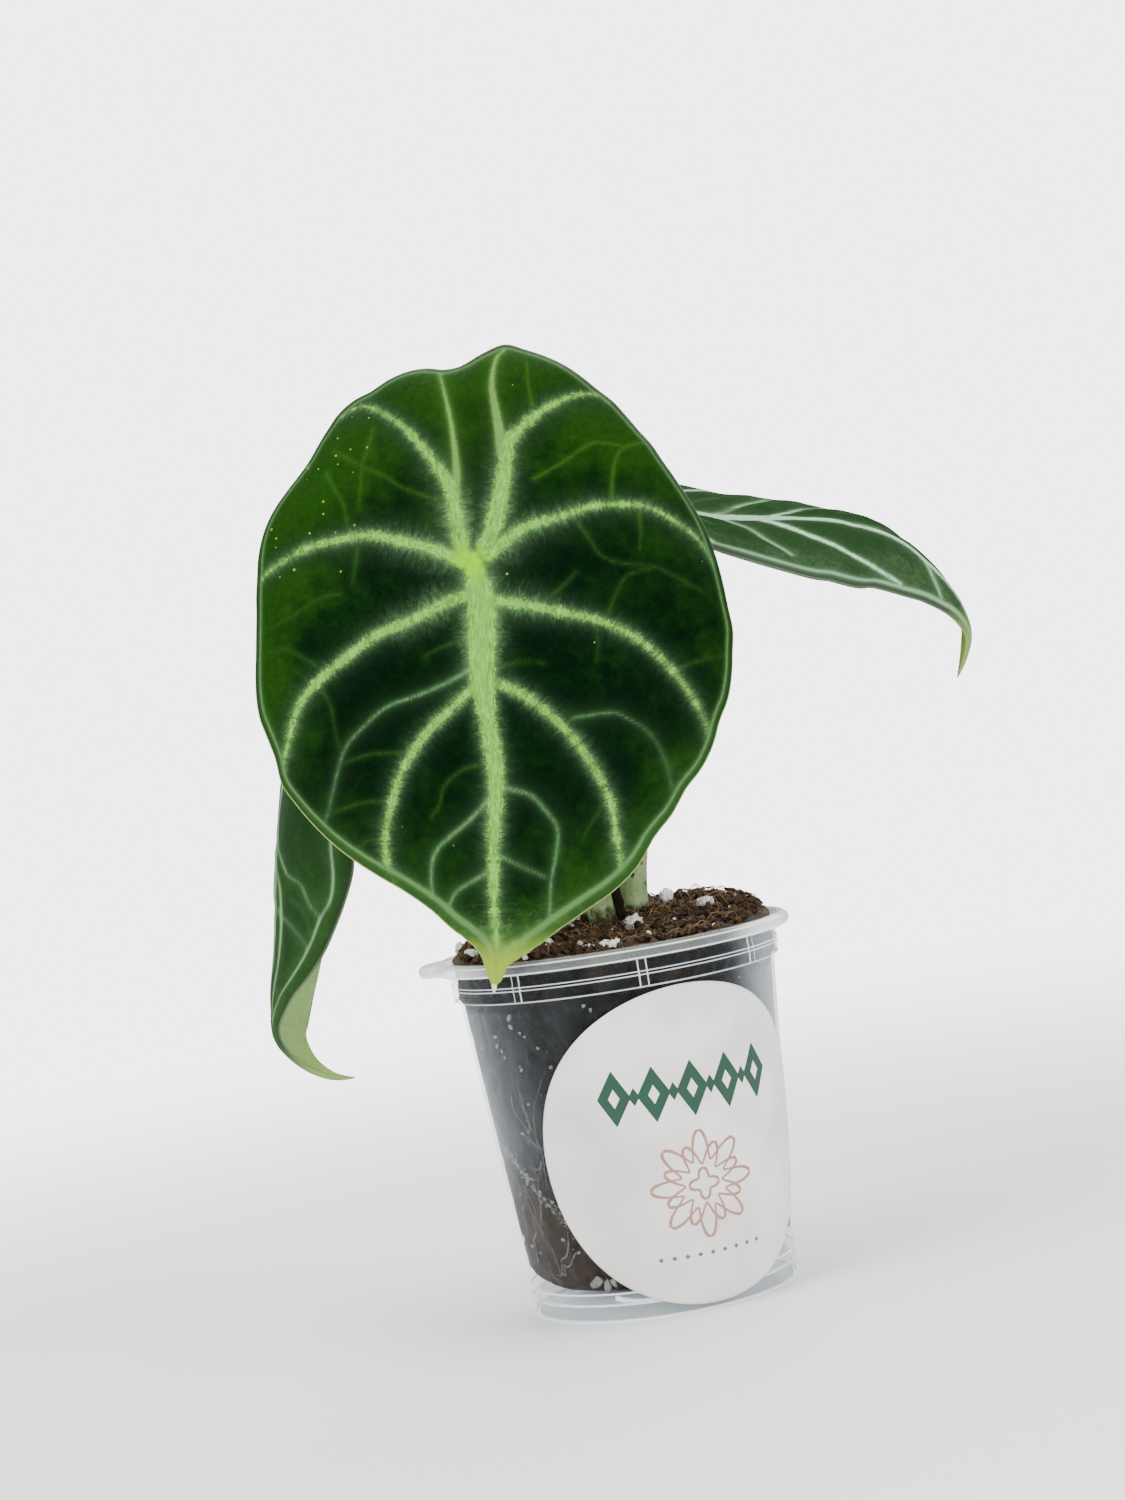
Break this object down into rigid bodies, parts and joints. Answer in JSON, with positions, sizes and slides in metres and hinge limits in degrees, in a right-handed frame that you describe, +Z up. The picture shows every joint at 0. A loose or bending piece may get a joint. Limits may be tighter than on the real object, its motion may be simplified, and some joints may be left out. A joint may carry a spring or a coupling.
{
  "type": "potted ninja alocasia",
  "caption": "Young shield-leaved alocasia with pale-veined dark leaves on round stalks, rooted in coir in a clear tapered nursery pot with a round paper label.",
  "frame": {"origin": "middle of the pot's underside, on the surface that it stands on", "axes": "+Z up along the pot's axis, -Y towards the face of the big leaf, +X towards the leaf that arches away"},
  "size_m": [0.1331, 0.0716, 0.1662],
  "materials": {
    "clear_plastic": "thin clear plastic with a bluish haze, glossy",
    "label_paper": "matte white paper sticker",
    "soil": "damp dark coir with white perlite, rough",
    "root": "pale fibrous root",
    "leaf": "thick velvety dark green leaf with pale green veins",
    "stalk": "smooth pale green stalk with fine dark flecks"
  },
  "bodies": {
    "root": {"pot": "clear_plastic", "label": "label_paper", "soil": "soil", "rooted_stem": "root", "leaf_front": "leaf", "leaf_right": "leaf", "leaf_left": "leaf", "stalk_front": "stalk", "stalk_right": "stalk", "stalk_left": "stalk"}
  },
  "joints": []
}
